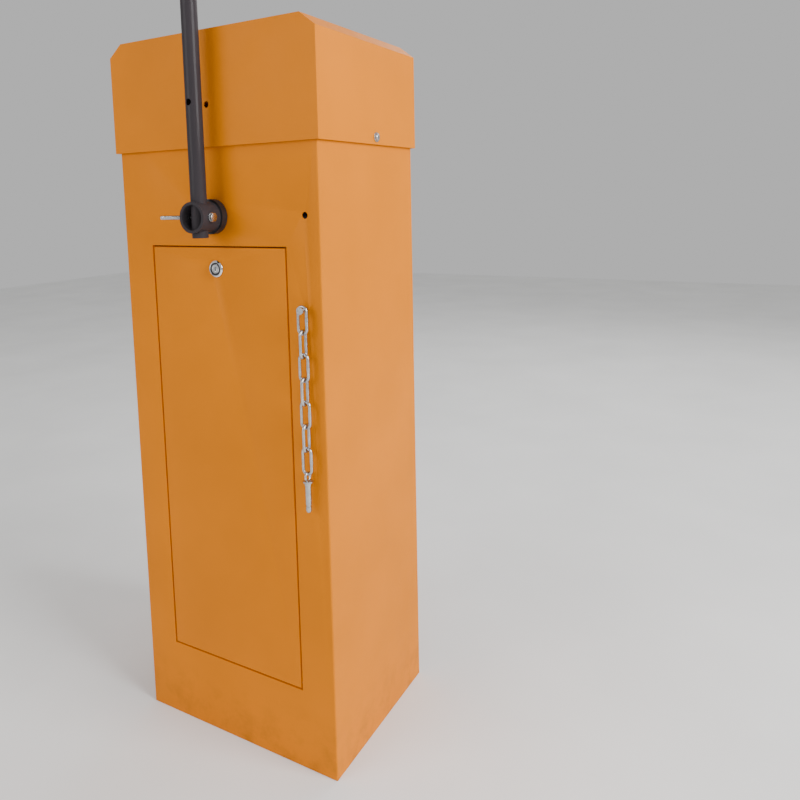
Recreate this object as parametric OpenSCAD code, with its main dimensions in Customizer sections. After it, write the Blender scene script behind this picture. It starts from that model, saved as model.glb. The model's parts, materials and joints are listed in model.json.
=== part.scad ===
// Manual parking barrier gate: a sheet-steel post whose tubular boom socket turns on a
// horizontal shaft, balanced by a long tension spring inside the post.
// X runs across the front, Y runs from front to back, Z is up. The origin is on the ground,
// at the centre of the four anchor holes. The boom stands upright at rest.

/* [Cabinet] */
// Width of the cabinet across its front
body_w = 350; // [300:5:430]
// Depth of the cabinet from front to back
body_d = 268; // [230:2:330]
// Height of the side sheets, whose top the lid covers
body_h = 912; // [780:2:1100]
// Thickness of the cabinet sheets
sheet = 2; // [1.5:0.5:3]
// Distance from the top of the sheets down to the shaft axis
hub_drop = 125; // [110:1:140]
// Distance from the ground to the lower edge of the door opening
opening_bottom = 118; // [90:1:150]
// Distance from the shaft axis down to the upper edge of the door opening
opening_drop = 41; // [38:1:60]
// Width of the cabinet front on each side of the door opening
jamb_w = 54; // [40:1:70]
// Height of the open window in the back sheet, below the level of the opening's top
window_h = 142; // [100:2:200]
// Width of the back sheet on each side of the window
window_jamb_w = 50; // [30:1:80]

/* [Lid] */
// Height of the lid from its lower edge to its flat top
lid_h = 156; // [130:2:200]
// How far the lid comes down over the side sheets
lid_overlap = 30; // [20:1:50]
// How far the lid stands proud of the cabinet on every side
lid_proud = 5; // [4:0.5:10]
// Width of the sloping edge on the lid's left and right
chamfer_w = 23; // [10:1:40]
// Height of the sloping edge on the lid's left and right
chamfer_h = 18; // [8:1:30]
// Distance that the lid screws stand behind the middle of the cabinet
lid_screw_y = 12; // [0:1:40]

/* [Door] */
// Gap between the door and the edge of its opening
door_gap = 2; // [1.5:0.25:3]
// Thickness of the door sheet
door_sheet = 1.5; // [1:0.25:2]
// Depth of the door's folded edges
door_return = 12; // [9:0.5:12]
// Depth from the cabinet front to the stop flange behind the door
recess_d = 18; // [17:0.5:30]
// Width of the stop flange around the opening
flange_w = 15; // [10:1:20]
// Radius of the door's pivot pins
pivot_r = 2.5; // [2:0.25:3]
// Distance from the door's top edge down to the lock axis
lock_drop = 30; // [25:1:60]

/* [Boom hub] */
// Outer radius of the shaft tube
shaft_r = 21.2; // [18:0.1:26]
// Wall of the shaft tube
shaft_wall = 4; // [3:0.5:6]
// How far the shaft tube stands out of the cabinet front
hub_reach = 45; // [40:1:60]
// Outer radius of the boom socket tube
arm_r = 11; // [8:0.5:14]
// Wall of the boom socket tube
arm_wall = 2; // [1.5:0.25:3]
// Distance from the cabinet front to the axis of the boom socket tube
arm_stand_off = 29; // [26:1:32]
// Length of the boom socket tube above the shaft axis
arm_up = 400; // [340:1:500]
// Length of the boom socket tube below the shaft axis
arm_down = 28; // [25:1:34]
// Length of the turned-down end that the boom slides over
spigot_len = 82; // [60:1:90]
// Radius of that end
spigot_r = 10.5; // [7.5:0.1:13]
// Distance from the cabinet's side to the lower lock-pin hole
lock_hole_inset = 23; // [18:1:30]
// Radius of the lock-pin holes
lock_hole_r = 4.5; // [4:0.25:6]

/* [Balance spring] */
// Distance from the cabinet front to the plane in which the spring swings
spring_setback = 62; // [56:1:80]
// Room left between the lever's pivot and the cabinet side when the boom is down
lever_room = 19; // [17:1:30]
// Width of the lever across the cabinet
lever_w = 14; // [12:0.5:18]
// Depth of the lever from front to back
lever_t = 18; // [14:0.5:22]
// Distance of the spring's lower pin from the middle of the cabinet
anchor_x = 46; // [20:1:80]
// Height of the spring's lower pin above the ground
anchor_z = 58; // [54:1:80]
// Outer radius of the spring
spring_r = 21; // [17:0.5:24]
// Radius of the spring wire
wire_r = 3.1; // [2:0.1:3.5]
// Distance between one coil and the next
coil_pitch = 7.4; // [6:0.1:9]
// Distance from the upper pin to the first coil
spring_top_gap = 100; // [90:1:130]
// Distance from the last coil to the lower pin
spring_bottom_gap = 55; // [45:1:80]

/* [Base] */
// Leg of the base angle irons
angle_leg = 40; // [30:1:50]
// Thickness of the base angle irons
angle_t = 4; // [3:0.5:6]
// Distance from the cabinet's left and right sides to the anchor holes
anchor_inset_x = 25; // [20:1:30]
// Distance from the cabinet's front and back to the anchor holes
anchor_inset_y = 39; // [36:1:60]
// Radius of the anchor holes
anchor_hole_r = 7; // [5:0.5:9]

/* [Chain] */
// Radius of the chain wire
link_wire_r = 2; // [1.5:0.25:2.5]
// Outer length of one link
link_len = 40; // [34:1:48]
// Outer width of one link
link_w = 17; // [16:0.5:22]
// Distance from the shaft axis down to the chain's stud
chain_drop = 122; // [100:1:160]
// Radius of the captive lock pin
pin_r = 4; // [3.5:0.25:5]

/* [Hidden] */
$fn = 48;

// Colours
paint = [0.93, 0.58, 0.08];
dark_paint = [0.23, 0.22, 0.23];
black = [0.08, 0.08, 0.09];
zinc = [0.74, 0.75, 0.76];
spring_steel = [0.72, 0.62, 0.45];
bare_steel = [0.60, 0.48, 0.36];
rubber = [0.10, 0.10, 0.10];
bronze = [0.66, 0.50, 0.28];

// Clearances
run = 0.05;      // radial, a pin or shaft that turns in its bore
seat = 0.02;     // radial, a bush or screw that sits still in its hole
slack = 0.25;    // radial, a bolt in a drilled hole
air = 0.3;       // between faces that pass each other
touch = 0.2;     // between a piece and the stop that it meets
eps = 1;         // how far a cutter runs past the face it cuts

// Cabinet
front = -body_d / 2;
back = body_d / 2;
half_w = body_w / 2;
inner_w = half_w - sheet;
hub_z = body_h - hub_drop;
opening_top = hub_z - opening_drop;
open_half = half_w - jamb_w;
window_half = half_w - window_jamb_w;
window_bottom = opening_top - window_h;
edge_fold = 2;
flange_front = front + recess_d;
flange_back = flange_front + edge_fold;
rim_w = 20;
rim_t = 3;
seam_leg = 25;
seam_gap = 0.5;
shaft_hole_gap = 1.4;

// Lid
lid_z = body_h - lid_overlap;
lid_top = lid_z + lid_h;
lid_half = half_w + lid_proud;
lid_front = front - lid_proud;
lid_screw_z = lid_z + 10;
lid_screw_r = 3;
lid_screw_tail = 8;
lid_washer_r = 7;
lid_washer_t = 1.5;
lid_head_r = 6;
lid_head_top_r = 3.5;
lid_head_t = 3;
lid_nut_af = 10;
lid_nut_t = 5;
rail_leg = 20;

// Door
door_half = open_half - door_gap;
door_bottom = opening_bottom + door_gap;
door_top = opening_top - door_gap;
pivot_y = front + 5;
pivot_z = opening_bottom + 10;
pivot_in = 5;
pivot_out = 2;
lock_z = door_top - lock_drop;
lock_body_r = 9.5;
lock_face_r = 12.25;
lock_face_t = 3;
lock_end_gap = 1;
lock_nut_af = 24;
lock_nut_t = 4;
plug_r = 6.4;
plug_recess = 0.4;
key_slot_w = 1.4;
key_slot_h = 8;
key_slot_d = 8;
cam_front = flange_back + 2 * air;
cam_t = 2;
cam_reach = flange_w + door_gap + 13;
cam_w = 16;
cam_arm_w = 12;
cam_square = 7;
cam_screw_r = 2;
cam_screw_af = 9;
cam_screw_head = 3.5;
cam_screw_in = 3;

// Hub, shaft and stops
arm_y = front - arm_stand_off;
shaft_front = front - hub_reach;
shaft_back = back - sheet - 1;
lock_r = half_w - lock_hole_inset;
bush_wall = 3.8;
bush_r = shaft_r + run + bush_wall;
bush_len = 20;
housing_r = bush_r + 5;
plate_t = 6;
plate_bolt_x = housing_r + 1;
plate_bolt_z = housing_r - 6;
plate_edge = 9;
plate_half_w = plate_bolt_x + plate_edge;
plate_half_h = plate_bolt_z + plate_edge;
plate_bolt_r = 4;
plate_bolt_af = 13;
plate_bolt_head = 5;
plate_nut_t = 6.5;
plate_bolt_tail = 3.5;
seal_r = shaft_r + 3.1;
seal_len = 10;
collar_r = shaft_r + 9.8;
hub_bolt_r = 3;
hub_bolt_tail = 70;
hub_bolt_af = 11;
hub_bolt_head = 4.7;
arm_collar_h = 6;
arm_collar_t = 3;
set_screw_r = 4;
set_screw_len = 14;
set_screw_out = 2;
stop_y = back - sheet - bush_len - 20;
stop_t = 14;
stop_w = 16;
buffer_r = 11;
buffer_over = 3;
stud_r = 5;
stud_head_af = 17;
stud_head_t = 6;
stud_nut_t = 8;
stud_tail = 4;
up_stop_x = -stop_w / 2 - touch - buffer_r;
up_stop_z = hub_z + plate_half_h + 15;
down_stop_x = plate_half_w + 14;
down_stop_z = hub_z - stop_w / 2 - touch - buffer_r;
stop_len = down_stop_x + 10;

// Lever and spring, laid out along the line from the lever's pivot to the lower pin
spring_y = front + spring_setback;
lever_l = inner_w - lever_room;
pivot_top_z = hub_z - lever_l;
lean = atan2(anchor_x, pivot_top_z - anchor_z);
spring_len = norm([anchor_x, pivot_top_z - anchor_z]);
lever_end = 11;
lever_spacer_t = 1;
lever_over = 3;
lever_notch = 4;
ball_r = 10;
ball_half = 7;
ball_chamfer = 2;
lever_front = spring_y + ball_half + lever_spacer_t;
eye_r = 16;
eye_half = 6;
bolt_r = 5;
bolt_af = 17;
bolt_head_r = 8;
bolt_head_t = 10;
bolt_socket_af = 8;
bolt_socket_d = 5;
flat_head_t = 7;
nut_t = 8;
bolt_tail = 4;
spacer_r = 9;
rod_r = 5;
rod_grip = 14;
rod_hole = 15;
shank_r = 8;
shank_end = 34;
neck_end_r = eye_half - 1;
neck_len = 8;
jam_t = 6.5;
jam_top = shank_end + 5;
coil_r = spring_r - wire_r;
coil_start = spring_top_gap;
coil_end = spring_len - spring_bottom_gap;
coil_len = coil_end - coil_start - 2 * wire_r;
taper_len = 5 * coil_pitch;
taper_r = 9;
sleeve_half = 1.2;
coils = floor(coil_len / coil_pitch);
coil_step = coil_len / coils;
plug_disc_r = coil_r - wire_r - 1;
plug_disc_t = 10;
anchor_eye_r = 13;
anchor_socket = 3;
anchor_bar_t = 6;
anchor_bar_h = 26;
anchor_bar_in = eye_half + air;
end_plate_t = 4;
end_plate_half = 30;
end_plate_h = 34;

// Chain
link_r = (link_w - 2 * link_wire_r) / 2;
link_gap = 0.5;
link_pitch = link_len - 4 * link_wire_r - link_gap;
chain_x = half_w - 25;
chain_y = front - 10.5;
chain_stud_r = 2.5;
stud_disc_r = 5;
stud_disc_t = 2;
stud_disc_y = chain_y - 2 * link_wire_r;
stud_rivet_t = 1.5;
chain_stud_z = hub_z - chain_drop;
chain_top = chain_stud_z + chain_stud_r + air + 2 * link_wire_r;
upper_links = 3;
lower_links = 4;
ring_wire_r = 1.5;
ring_r = 5.5;
pin_head_r = 7;
pin_head_h = 7;
pin_point_h = 3;
pin_point_r = pin_r - 1.5;
chain_bottom = chain_top - link_len - (upper_links + lower_links - 1) * link_pitch;
ring_z = chain_bottom + 2 * link_wire_r + link_gap + ring_wire_r - ring_r;
pin_len = 34;

// ---------------------------------------------------------------- shared shapes

// A round bar along Y, from y0 to y1
module bar_y(r, y0, y1, x = 0, z = 0)
    translate([x, y1, z]) rotate([90, 0, 0]) cylinder(r = r, h = y1 - y0);

// A round bar along X, from x0 to x1
module bar_x(r, x0, x1, y = 0, z = 0)
    translate([x0, y, z]) rotate([0, 90, 0]) cylinder(r = r, h = x1 - x0);

// A hexagonal prism along Y, af across its flats
module hex_y(af, y0, y1, x = 0, z = 0)
    translate([x, y1, z]) rotate([90, 0, 0]) cylinder(d = af / cos(30), h = y1 - y0, $fn = 6);

// A hexagonal prism along X, af across its flats
module hex_x(af, x0, x1, y = 0, z = 0)
    translate([x0, y, z]) rotate([0, 90, 0]) cylinder(d = af / cos(30), h = x1 - x0, $fn = 6);

// A block given by its lowest and highest corners
module block(low, high)
    translate(low) cube(high - low);

// A frame of sheet around a rectangular opening, seen from the front
module window_frame(half, bottom, top, thickness_out, y0, y1)
    difference() {
        block([-half - thickness_out, y0, bottom - thickness_out],
              [half + thickness_out, y1, top + thickness_out]);
        block([-half, y0 - eps, bottom], [half, y1 + eps, top]);
    }

// Puts its children in the spring's own frame: the lever's pivot is at the origin and the
// spring runs down -Z from it
module along_spring()
    translate([0, spring_y, pivot_top_z]) rotate([0, -lean, 0]) children();

// ---------------------------------------------------------------- cabinet

module front_panel()
    color(paint)
        difference() {
            block([-half_w, front, 0], [half_w, front + sheet, body_h]);
            block([-open_half, front - eps, opening_bottom],
                  [open_half, front + sheet + eps, opening_top]);
            bar_y(shaft_r + shaft_hole_gap, front - eps, front + sheet + eps, 0, hub_z);
            bar_y(lock_hole_r, front - eps, front + sheet + eps, lock_r, hub_z);
            bar_y(chain_stud_r + seat, front - eps, front + sheet + eps, chain_x, chain_stud_z);
        }

// The left or right side sheet, with an open slot at its top for a lid screw
module side_panel(side)
    difference() {
        block([min(side * inner_w, side * half_w), front + sheet, 0],
              [max(side * inner_w, side * half_w), back - sheet, body_h]);
        bar_x(lid_screw_r + air, side * half_w - sheet - eps, side * half_w + sheet + eps,
              lid_screw_y, lid_screw_z);
        block([side * half_w - sheet - eps, lid_screw_y - lid_screw_r - air, lid_screw_z],
              [side * half_w + sheet + eps, lid_screw_y + lid_screw_r + air, body_h + eps]);
    }

module left_panel() color(paint) side_panel(-1);

module right_panel() color(paint) side_panel(1);

module back_panel()
    color(paint)
        difference() {
            block([-half_w, back - sheet, 0], [half_w, back, body_h]);
            block([-window_half, back - sheet - eps, window_bottom],
                  [window_half, back + eps, opening_top]);
            bearing_bolt_holes(back - sheet - eps, back + eps);
            for (stop = [[up_stop_x, up_stop_z], [down_stop_x, down_stop_z]])
                bar_y(stud_r + slack, back - sheet - eps, back + eps, stop.x, stop.y);
        }

// The folded edge behind the opening: a box around the door
module door_rebate()
    color(paint)
        difference() {
            window_frame(open_half, opening_bottom, opening_top, edge_fold,
                         front + sheet, flange_back);
            bar_x(pivot_r + seat, -half_w, half_w, pivot_y, pivot_z);
        }

// The flange at the back of that box, which stops the door and holds the lock's cam
module door_stop_flange()
    color(paint)
        window_frame(open_half - flange_w, opening_bottom + flange_w, opening_top - flange_w,
                     flange_w, flange_front, flange_back);

module top_rim()
    color(paint)
        difference() {
            block([-inner_w, front + sheet, body_h - rim_t], [inner_w, back - sheet, body_h]);
            block([-inner_w + rim_w, front + sheet + rim_w, body_h - rim_t - eps],
                  [inner_w - rim_w, back - sheet - rim_w, body_h + eps]);
            for (side = [-1, 1])
                block([side * inner_w - rim_w / 2, lid_screw_y - lid_nut_af, body_h - rim_t - eps],
                      [side * inner_w + rim_w / 2, lid_screw_y + lid_nut_af, body_h + eps]);
        }

// One length of angle iron along Y, its corner on the ground at the side sheet
module side_angle(side, y0, y1) {
    outer = side * inner_w;
    block([min(outer, outer - side * angle_t), y0, 0],
          [max(outer, outer - side * angle_t), y1, angle_leg]);
    block([min(outer, outer - side * angle_leg), y0, 0],
          [max(outer, outer - side * angle_leg), y1, angle_t]);
}

// One length of angle iron along X, its corner on the ground at the front or back sheet
module cross_angle(end, leg) {
    outer = end * (back - sheet);
    block([-inner_w, min(outer, outer - end * angle_t), 0],
          [inner_w, max(outer, outer - end * angle_t), angle_leg]);
    block([-inner_w, min(outer, outer - end * leg), 0],
          [inner_w, max(outer, outer - end * leg), angle_t]);
}

module base_frame()
    color(paint)
        difference() {
            union() {
                for (side = [-1, 1])
                    side_angle(side, front + sheet + seam_leg, back - sheet - seam_leg);
                for (end = [-1, 1])
                    cross_angle(end, seam_leg - seam_gap);
            }
            for (x = [-1, 1], y = [-1, 1])
                translate([x * (half_w - anchor_inset_x), y * (back - anchor_inset_y), -eps])
                    cylinder(r = anchor_hole_r, h = angle_t + 2 * eps);
        }

module door_pivot_pins()
    color(zinc)
        for (side = [-1, 1]) {
            inside = side * (door_half - pivot_in);
            outside = side * (open_half + edge_fold + pivot_out);
            bar_x(pivot_r, min(inside, outside), max(inside, outside), pivot_y, pivot_z);
        }

// ---------------------------------------------------------------- shaft bearings

module bearing_bolt_holes(y0, y1)
    for (x = [-1, 1], z = [-1, 1])
        bar_y(plate_bolt_r + slack, y0, y1, x * plate_bolt_x, hub_z + z * plate_bolt_z);

// A plate and a boss that hold one bush; plate_y is the plate's outer face and inward is
// the direction from there into the cabinet
module bearing_housing(plate_y, inward)
    difference() {
        union() {
            block([-plate_half_w, min(plate_y, plate_y + inward * plate_t), hub_z - plate_half_h],
                  [plate_half_w, max(plate_y, plate_y + inward * plate_t), hub_z + plate_half_h]);
            bar_y(housing_r, min(plate_y, plate_y + inward * bush_len),
                  max(plate_y, plate_y + inward * bush_len), 0, hub_z);
        }
        bar_y(bush_r + seat, plate_y - bush_len - eps, plate_y + bush_len + eps, 0, hub_z);
    }

// A plain bush around the shaft
module bush(y0)
    difference() {
        bar_y(bush_r, y0, y0 + bush_len, 0, hub_z);
        bar_y(shaft_r + run, y0 - eps, y0 + bush_len + eps, 0, hub_z);
    }

module front_bearing_housing() color(paint) bearing_housing(front + sheet, 1);

module front_bush() color(bronze) bush(front + sheet);

module hub_seal_ring()
    color(black)
        difference() {
            bar_y(seal_r, front - seal_len, front, 0, hub_z);
            bar_y(shaft_r + run, front - seal_len - eps, front + eps, 0, hub_z);
        }

module rear_bearing_housing()
    color(paint)
        difference() {
            bearing_housing(back - sheet, -1);
            bearing_bolt_holes(back - sheet - plate_t - eps, back);
        }

module rear_bush() color(bronze) bush(back - sheet - bush_len);

module rear_bearing_bolts()
    color(zinc)
        for (x = [-1, 1], z = [-1, 1]) {
            bx = x * plate_bolt_x;
            bz = hub_z + z * plate_bolt_z;
            face = back - sheet - plate_t;
            hex_y(plate_bolt_af, back, back + plate_bolt_head, bx, bz);
            bar_y(plate_bolt_r, face - plate_nut_t - plate_bolt_tail, back, bx, bz);
            difference() {
                hex_y(plate_bolt_af, face - plate_nut_t, face, bx, bz);
                bar_y(plate_bolt_r + seat, face - plate_nut_t - eps, back, bx, bz);
            }
        }

// ---------------------------------------------------------------- boom stops

module stop_stud(x, z) {
    face = back - sheet;
    hex_y(stud_head_af, back, back + stud_head_t, x, z);
    bar_y(stud_r, stop_y - stud_tail, back, x, z);
    difference() {
        hex_y(stud_head_af, face - stud_nut_t, face, x, z);
        bar_y(stud_r + seat, face - stud_nut_t - eps, back, x, z);
    }
}

module stop_studs()
    color(zinc) {
        stop_stud(up_stop_x, up_stop_z);
        stop_stud(down_stop_x, down_stop_z);
    }

module stop_buffers()
    color(rubber)
        for (stop = [[up_stop_x, up_stop_z], [down_stop_x, down_stop_z]])
            difference() {
                bar_y(buffer_r, stop_y - buffer_over, stop_y + stop_t + buffer_over,
                      stop.x, stop.y);
                bar_y(stud_r + seat, stop_y - buffer_over - eps,
                      stop_y + stop_t + buffer_over + eps, stop.x, stop.y);
            }

// ---------------------------------------------------------------- spring anchor

module anchor_bars()
    color(paint)
        for (side = [-1, 1])
            difference() {
                block([-inner_w + end_plate_t,
                       spring_y + min(side * anchor_bar_in, side * (anchor_bar_in + anchor_bar_t)),
                       anchor_z - anchor_bar_h / 2],
                      [inner_w - end_plate_t,
                       spring_y + max(side * anchor_bar_in, side * (anchor_bar_in + anchor_bar_t)),
                       anchor_z + anchor_bar_h / 2]);
                bar_y(bolt_r + slack, spring_y - end_plate_half, spring_y + end_plate_half,
                      anchor_x, anchor_z);
            }

module anchor_end_plates()
    color(paint)
        for (side = [-1, 1])
            block([min(side * inner_w, side * (inner_w - end_plate_t)),
                   spring_y - end_plate_half, anchor_z - end_plate_h / 2],
                  [max(side * inner_w, side * (inner_w - end_plate_t)),
                   spring_y + end_plate_half, anchor_z + end_plate_h / 2]);

// The two ends of the lower pin's bolt, each in its own bar
module anchor_bolt() {
    outer = anchor_bar_in + anchor_bar_t;
    color(black) {
        hex_y(bolt_af, spring_y - outer - flat_head_t, spring_y - outer, anchor_x, anchor_z);
        bar_y(bolt_r, spring_y - outer, spring_y - anchor_bar_in, anchor_x, anchor_z);
        hex_y(bolt_af, spring_y + outer, spring_y + outer + nut_t, anchor_x, anchor_z);
        bar_y(bolt_r, spring_y + anchor_bar_in, spring_y + outer + nut_t + bolt_tail,
              anchor_x, anchor_z);
    }
}

// ---------------------------------------------------------------- lid

// The lid's outline seen from the front, shrunk by inset on the sides, slopes and top
module lid_outline(inset) {
    half = lid_half - inset;
    top = lid_top - inset;
    slope = inset * (norm([chamfer_w, chamfer_h]) - chamfer_h) / chamfer_w;
    polygon([[-half, lid_z - eps * (inset > 0 ? 1 : 0)], [half, lid_z - eps * (inset > 0 ? 1 : 0)],
             [half, lid_top - chamfer_h - slope], [half - chamfer_w + inset / 2, top],
             [-half + chamfer_w - inset / 2, top], [-half, lid_top - chamfer_h - slope]]);
}

module lid()
    color(paint)
        difference() {
            translate([0, -lid_front, 0]) rotate([90, 0, 0])
                linear_extrude(height = -2 * lid_front) lid_outline(0);
            translate([0, -lid_front - sheet, 0]) rotate([90, 0, 0])
                linear_extrude(height = -2 * lid_front - 2 * sheet) lid_outline(sheet);
            bar_y(lock_hole_r, lid_front - eps, lid_front + sheet + eps, 0, hub_z + lock_r);
            bar_x(lid_screw_r + slack, -lid_half - eps, lid_half + eps, lid_screw_y, lid_screw_z);
        }

// Angle rails inside the lid that carry it on the rim of the cabinet
module lid_rest_rails()
    color(paint)
        for (side = [-1, 1]) {
            outer = side * (lid_half - sheet);
            foot = body_h + touch;
            block([min(outer, outer - side * rail_leg), front + rail_leg, foot],
                  [max(outer, outer - side * rail_leg), back - rail_leg, foot + sheet]);
            block([min(outer, outer - side * sheet), front + rail_leg, foot],
                  [max(outer, outer - side * sheet), back - rail_leg, foot + rail_leg]);
        }

// One screw with its washer, along +Z with the washer's under face at the origin
module lid_screw() {
    cylinder(r = lid_washer_r, h = lid_washer_t);
    translate([0, 0, lid_washer_t])
        cylinder(r1 = lid_head_r, r2 = lid_head_top_r, h = lid_head_t);
    translate([0, 0, -lid_proud - sheet - lid_screw_tail])
        cylinder(r = lid_screw_r, h = lid_proud + sheet + lid_screw_tail);
}

module lid_screws()
    color(zinc)
        for (side = [-1, 1])
            translate([side * lid_half, lid_screw_y, lid_screw_z])
                rotate([0, side * 90, 0]) lid_screw();

module lid_nuts()
    color(zinc)
        for (side = [-1, 1]) {
            outer = side * (inner_w - touch);
            inner = outer - side * lid_nut_t;
            difference() {
                hex_x(lid_nut_af, min(outer, inner), max(outer, inner), lid_screw_y, lid_screw_z);
                bar_x(lid_screw_r + seat, -half_w, half_w, lid_screw_y, lid_screw_z);
            }
        }

// ---------------------------------------------------------------- door and lock

module door_panel()
    color(paint)
        difference() {
            block([-door_half, front, door_bottom], [door_half, front + door_return, door_top]);
            block([-door_half + door_sheet, front + door_sheet, door_bottom + door_sheet],
                  [door_half - door_sheet, front + door_return + eps, door_top - door_sheet]);
            bar_x(pivot_r + run, -half_w, half_w, pivot_y, pivot_z);
            bar_y(lock_body_r + run, front - eps, front + door_sheet + eps, 0, lock_z);
        }

module lock_barrel()
    color(zinc)
        difference() {
            union() {
                bar_y(lock_face_r, front - lock_face_t, front, 0, lock_z);
                bar_y(lock_body_r, front, flange_back - lock_end_gap, 0, lock_z);
            }
            bar_y(plug_r + run, front - lock_face_t - eps, flange_back, 0, lock_z);
        }

module lock_nut()
    color(zinc)
        difference() {
            hex_y(lock_nut_af, front + door_sheet, front + door_sheet + lock_nut_t, 0, lock_z);
            bar_y(lock_body_r + seat, front, front + door_sheet + lock_nut_t + eps, 0, lock_z);
        }

module lock_plug()
    color(zinc)
        difference() {
            union() {
                bar_y(plug_r, front - lock_face_t + plug_recess, cam_front, 0, lock_z);
                block([-cam_square / 2, cam_front - eps, lock_z - cam_square / 2],
                      [cam_square / 2, cam_front + cam_t, lock_z + cam_square / 2]);
            }
            block([-key_slot_w / 2, front - lock_face_t - eps, lock_z - key_slot_h / 2],
                  [key_slot_w / 2, front + key_slot_d, lock_z + key_slot_h / 2]);
            bar_y(cam_screw_r + seat, cam_front - cam_screw_in - eps, cam_front + cam_t + eps,
                  0, lock_z);
        }

// The tongue of the lock, turned out of the way to the left at rest
module lock_cam()
    color(zinc)
        difference() {
            union() {
                bar_y(cam_w / 2, cam_front, cam_front + cam_t, 0, lock_z);
                block([-cam_reach, cam_front, lock_z - cam_arm_w / 2],
                      [0, cam_front + cam_t, lock_z + cam_arm_w / 2]);
            }
            block([-cam_square / 2 - seat, cam_front - eps, lock_z - cam_square / 2 - seat],
                  [cam_square / 2 + seat, cam_front + cam_t + eps, lock_z + cam_square / 2 + seat]);
        }

module cam_screw()
    color(zinc) {
        hex_y(cam_screw_af, cam_front + cam_t, cam_front + cam_t + cam_screw_head, 0, lock_z);
        bar_y(cam_screw_r, cam_front - cam_screw_in, cam_front + cam_t, 0, lock_z);
    }

// ---------------------------------------------------------------- boom hub

module shaft_tube()
    color(dark_paint)
        difference() {
            bar_y(shaft_r, shaft_front, shaft_back, 0, hub_z);
            bar_y(shaft_r - shaft_wall, shaft_front - eps, shaft_back + eps, 0, hub_z);
            translate([0, arm_y, hub_z - 2 * shaft_r]) cylinder(r = arm_r + seat, h = 4 * shaft_r);
            bar_x(hub_bolt_r + slack, -2 * shaft_r, 2 * shaft_r, arm_y, hub_z);
        }

module arm_tube()
    color(dark_paint)
        difference() {
            translate([0, arm_y, hub_z - arm_down]) {
                cylinder(r = arm_r, h = arm_up + arm_down - spigot_len);
                cylinder(r = spigot_r, h = arm_up + arm_down);
            }
            translate([0, arm_y, hub_z - arm_down - eps])
                cylinder(r = arm_r - arm_wall, h = arm_up + arm_down + 2 * eps);
            bar_x(hub_bolt_r + slack, -2 * arm_r, 2 * arm_r, arm_y, hub_z);
            bar_y(lock_hole_r, arm_y - 2 * arm_r, arm_y + 2 * arm_r, 0, hub_z + lock_r);
        }

module arm_collar()
    color(dark_paint)
        translate([0, arm_y, hub_z + arm_up - spigot_len - arm_collar_h])
            difference() {
                cylinder(r = arm_r + arm_collar_t, h = arm_collar_h);
                translate([0, 0, -eps]) cylinder(r = arm_r + seat, h = arm_collar_h + 2 * eps);
            }

module hub_bolt()
    color(zinc) {
        hex_x(hub_bolt_af, shaft_r + air, shaft_r + air + hub_bolt_head, arm_y, hub_z);
        bar_x(hub_bolt_r, -hub_bolt_tail, shaft_r + air, arm_y, hub_z);
    }

module lever_collar()
    color(bare_steel)
        difference() {
            bar_y(collar_r, lever_front - lever_over, lever_front + lever_t + lever_over,
                  0, hub_z);
            bar_y(shaft_r + seat, lever_front - lever_over - eps,
                  lever_front + lever_t + lever_over + eps, 0, hub_z);
            translate([0, lever_front + lever_t / 2, hub_z + shaft_r])
                cylinder(r = set_screw_r + seat, h = shaft_r);
        }

module lever_bar()
    color(bare_steel)
        difference() {
            block([-lever_w / 2, lever_front, pivot_top_z - lever_end],
                  [lever_w / 2, lever_front + lever_t, hub_z - collar_r + lever_notch]);
            bar_y(collar_r + seat, lever_front - eps, lever_front + lever_t + eps, 0, hub_z);
            bar_y(bolt_r + slack, lever_front - eps, lever_front + lever_t + eps, 0, pivot_top_z);
        }

// Screws that hold the lever's collar and the stop collar on the shaft
module set_screws()
    color(black) {
        translate([0, lever_front + lever_t / 2, hub_z + shaft_r + seat])
            cylinder(r = set_screw_r, h = set_screw_len);
        bar_x(set_screw_r, -collar_r - set_screw_out, -shaft_r - seat,
              stop_y + stop_t / 2, hub_z);
    }

// A collar on the shaft whose finger meets the rubber stops at both ends of the swing
module stop_collar()
    color(bare_steel)
        difference() {
            union() {
                bar_y(collar_r, stop_y, stop_y + stop_t, 0, hub_z);
                block([-stop_w / 2, stop_y, hub_z], [stop_w / 2, stop_y + stop_t, hub_z + stop_len]);
            }
            bar_y(shaft_r + seat, stop_y - eps, stop_y + stop_t + eps, 0, hub_z);
            bar_x(set_screw_r + seat, -2 * shaft_r, -shaft_r + 1, stop_y + stop_t / 2, hub_z);
        }

module lever_bolt()
    color(black)
        difference() {
            union() {
                bar_y(bolt_head_r, spring_y - ball_half - bolt_head_t, spring_y - ball_half,
                      0, pivot_top_z);
                bar_y(bolt_r, spring_y - ball_half, lever_front + lever_t + nut_t + bolt_tail,
                      0, pivot_top_z);
            }
            hex_y(bolt_socket_af, spring_y - ball_half - bolt_head_t - eps,
                  spring_y - ball_half - bolt_head_t + bolt_socket_d, 0, pivot_top_z);
        }

module lever_spacer()
    color(zinc)
        difference() {
            bar_y(spacer_r, spring_y + ball_half, lever_front, 0, pivot_top_z);
            bar_y(bolt_r + seat, spring_y, lever_front + eps, 0, pivot_top_z);
        }

module lever_nut()
    color(zinc)
        difference() {
            hex_y(bolt_af, lever_front + lever_t, lever_front + lever_t + nut_t,
                  0, pivot_top_z);
            bar_y(bolt_r + seat, lever_front, lever_front + lever_t + nut_t + eps,
                  0, pivot_top_z);
        }

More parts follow.
